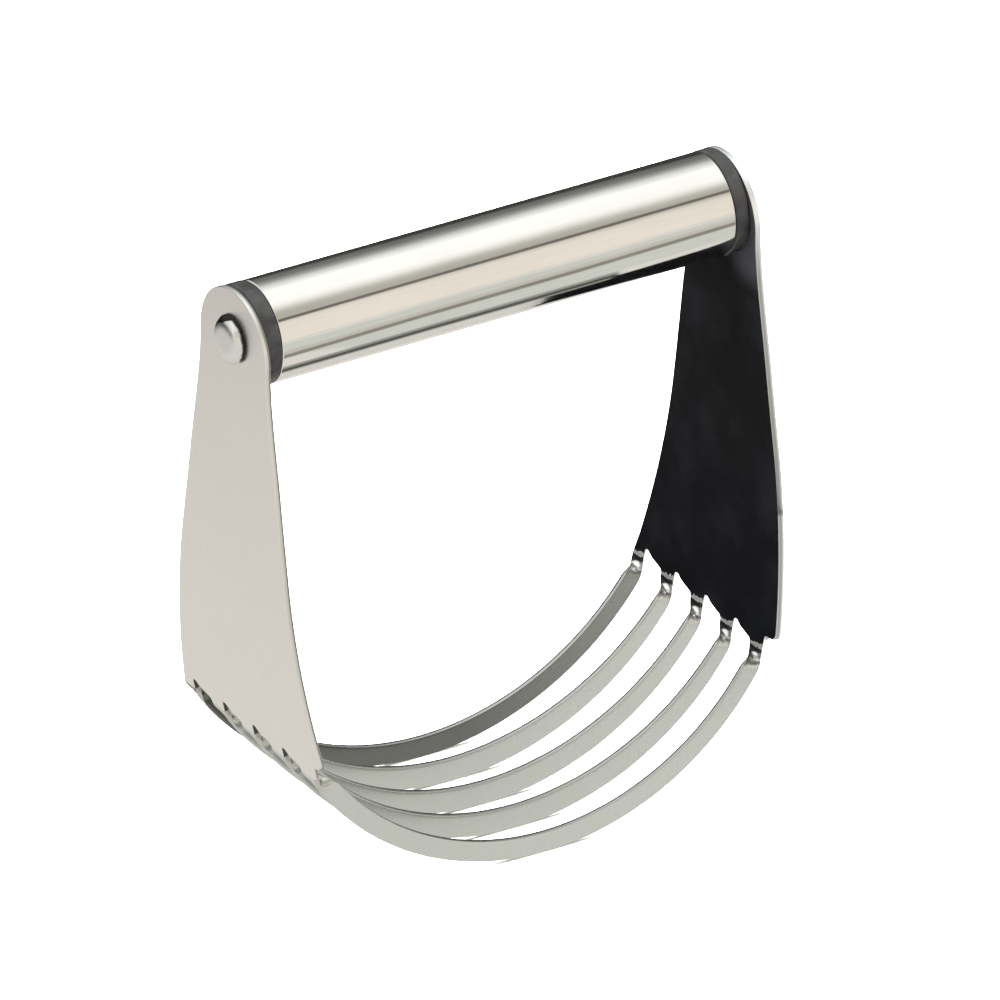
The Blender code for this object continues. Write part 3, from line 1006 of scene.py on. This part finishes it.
def floor_card(name, low, high, height, colour):
    """A card that lies along the floor, from one (x, y) corner to the other in mm, at a height above it."""
    z = FLOOR_Z / MM + height
    corners = [(low[0], low[1], z), (high[0], low[1], z), (high[0], high[1], z), (low[0], high[1], z)]
    studio_card(name, corners, colour)


def studio_bar(name, low, high, width, colour):
    """A long narrow card that faces the handle's axis and shows as a line along the tube.

    low and high are its ends: x and distance from the axis in mm, and degrees below the front horizon.
    """
    corners = []
    for (x, distance, angle), order in ((low, (-1, 1)), (high, (1, -1))):
        for sign in order:
            turn = radians(angle) + sign * width / distance / 2
            corners.append((x, -distance * cos(turn), HANDLE_Z / MM - distance * sin(turn)))
    studio_card(name, corners, colour)


studio_floor()
studio_backdrop()
studio_bar("upper_bar", (-60, 200, -38.2), (260, 200, -49.4), 20, (0.17, 0.155, 0.13))
studio_bar("front_bar", (-40, 107, 36.5), (160, 107, 24), 15, (0.30, 0.29, 0.25))
studio_bar("front_bar_edge", (-40, 108, 30.5), (160, 108, 18), 20, (0.66, 0.63, 0.56))
studio_bar("lower_bar", (-32, 60, 68), (53, 60, 68), 8, (0.10, 0.10, 0.09))
studio_bar("lower_bar_edge", (-32, 61, 67), (53, 61, 67), 20, (0.36, 0.37, 0.34))
floor_card("floor_in_reflections", (-2000, -2000), (2000, 2000), -0.05, (0.875, 0.85, 0.80))
floor_card("front_card", (20, -62), (600, -650), 0.05, (0.73, 0.745, 0.69))
floor_card("rear_card", (-1900, 250), (1900, 1900), 0.05, (0.05, 0.05, 0.045))
floor_card("rear_card_right", (20, 165), (400, 250), 0.05, (0.07, 0.07, 0.065))

# The studio's walls and ceiling in reflections, by the angle in degrees from the front horizon (0) over the
# top (90) to the rear horizon (180)
STUDIO = (
    (0, (1.00, 0.93, 0.82)),
    (33, (0.97, 0.90, 0.80)),
    (38, (0.84, 0.79, 0.70)),
    (44, (0.60, 0.57, 0.50)),
    (50, (0.54, 0.52, 0.46)),
    (55, (0.56, 0.54, 0.48)),
    (61, (0.68, 0.66, 0.60)),
    (67, (0.92, 0.91, 0.86)),
    (73, (1.12, 1.11, 1.07)),
    (80, (1.25, 1.25, 1.21)),
    (112, (1.30, 1.30, 1.27)),
    (122, (1.00, 1.00, 0.97)),
    (130, (0.75, 0.76, 0.73)),
    (138, (0.42, 0.43, 0.41)),
    (150, (0.22, 0.225, 0.21)),
    (164, (0.16, 0.165, 0.155)),
    (174, (0.05, 0.055, 0.05)),
    (180, (0.04, 0.04, 0.04)),
)
BRIGHTEST = 1.4  # the ramp holds each colour as a share of this
REAR_LEFT = 0.95  # level of the bright area at the upper rear left


def studio_world():
    """Light from all round, in the tones of STUDIO, with a bright area at the upper rear left."""
    world = bpy.data.worlds.new("studio")
    bpy.context.scene.world = world
    world.use_nodes = True
    tree = world.node_tree
    direction = add(tree, "TexCoord").outputs["Generated"]
    part = add(tree, "SeparateXYZ", {0: direction})
    towards = calc(tree, "MULTIPLY", part.outputs[1], -1.0)
    angle = calc(tree, "ARCTAN2", calc(tree, "MAXIMUM", part.outputs[2], 0.0), towards)
    share = calc(tree, "DIVIDE", angle, pi)
    ramp = add(tree, "ValToRGB", {0: share})
    stops = ramp.color_ramp.elements
    for i, (degrees, colour) in enumerate(STUDIO):
        stop = stops[i] if i < 2 else stops.new(1.0)
        stop.position = degrees / 180
        stop.color = (*(c / BRIGHTEST for c in colour), 1)
    rear, high = spread(tree, part.outputs[1], 0.3, 0.5), spread(tree, part.outputs[2], 0.12, 0.3)
    rear = calc(tree, "MULTIPLY", rear, high)
    rear = calc(tree, "MULTIPLY", rear, spread(tree, part.outputs[0], 0.38, 0.2))
    level = REAR_LEFT / BRIGHTEST
    sky = blend(tree, rear, ramp.outputs[0], (level, level, level, 1))
    background = tree.nodes["Background"]
    tree.links.new(sky, background.inputs["Color"])
    background.inputs["Strength"].default_value = BRIGHTEST


studio_world()


def soft_light(name, place, aim, size, power):
    """A round lamp that doesn't show in reflections."""
    light = bpy.data.lights.new(name, "AREA")
    light.shape = "DISK"
    light.size = size
    light.energy = power
    obj = bpy.data.objects.new(name, light)
    obj.location = place
    obj.rotation_euler = (Vector(aim) - Vector(place)).to_track_quat("-Z", "Y").to_euler()
    obj.visible_glossy = False
    bpy.context.scene.collection.objects.link(obj)


soft_light("overhead", (0, 0, 1.3), (0, 0, 0), 1.6, 110)


def place_camera():
    """Looks from the front left and above, with no perspective and the object a little off the middle."""
    azimuth, elevation, roll = radians(30.923), radians(27.857), radians(0.2136)
    right = Vector((cos(azimuth), -sin(azimuth), 0))
    up = Vector((sin(azimuth) * sin(elevation), cos(azimuth) * sin(elevation), cos(elevation)))
    back = right.cross(up)
    turned = Matrix((right, up, back)).transposed().to_4x4() @ Matrix.Rotation(-roll, 4, "Z")
    aim = Vector((0, 0, HANDLE_Z - 50 * MM))
    off_right, off_up = 3.43 * MM, 1.45 * MM
    aim += turned.col[0].xyz * off_right + turned.col[1].xyz * off_up
    data = bpy.data.cameras.new("camera")
    data.type = "ORTHO"
    data.ortho_scale = 184.64 * MM
    data.clip_start, data.clip_end = 0.01, 10
    camera = bpy.data.objects.new("camera", data)
    camera.matrix_world = Matrix.Translation(aim + back * 0.6) @ turned
    bpy.context.scene.collection.objects.link(camera)
    bpy.context.scene.camera = camera


place_camera()
bpy.context.scene.view_settings.view_transform = "Standard"

bpy.context.view_layer.update()
